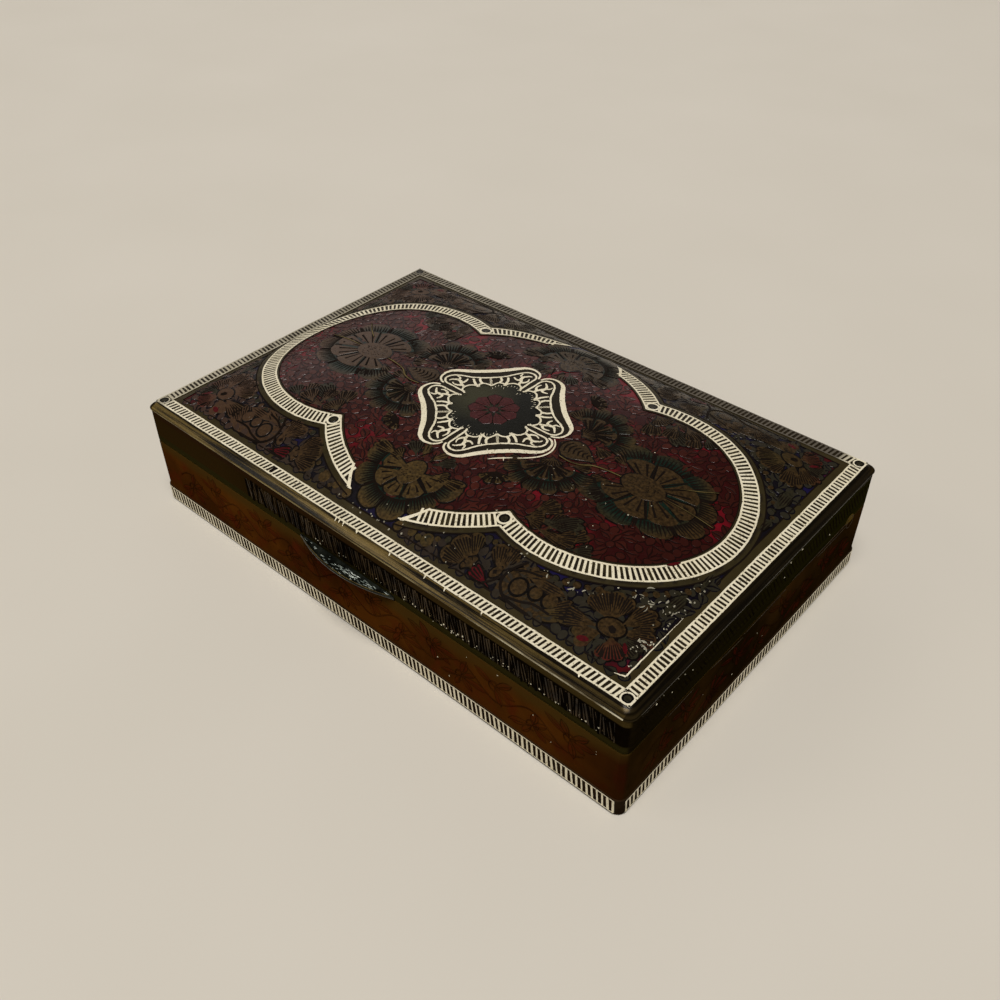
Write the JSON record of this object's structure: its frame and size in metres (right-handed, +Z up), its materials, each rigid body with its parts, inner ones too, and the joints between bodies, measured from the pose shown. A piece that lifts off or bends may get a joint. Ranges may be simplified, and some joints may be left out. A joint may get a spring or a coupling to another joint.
{
  "type": "trinket box",
  "caption": "Closed rectangular brass trinket box with a domed engraved lift-off lid, ladder borders, a lobed cartouche and a crescent thumb lip.",
  "frame": {"origin": "centre of the underside", "axes": "+Z up, +X along the long side, -Y towards the front, where the thumb lip is"},
  "size_m": [0.1524, 0.1025, 0.0375],
  "materials": {
    "base_brass": "dark red-brown lacquer over engraved brass, semi-gloss",
    "lid_brass": "dark lacquer and enamel over engraved brass, glossy, with bright cut lines",
    "lip_brass": "worn polished brass with grey-green tarnish"
  },
  "bodies": {
    "root": {"base": "base_brass", "lid": "lid_brass", "thumb_lip": "lip_brass"}
  },
  "joints": []
}
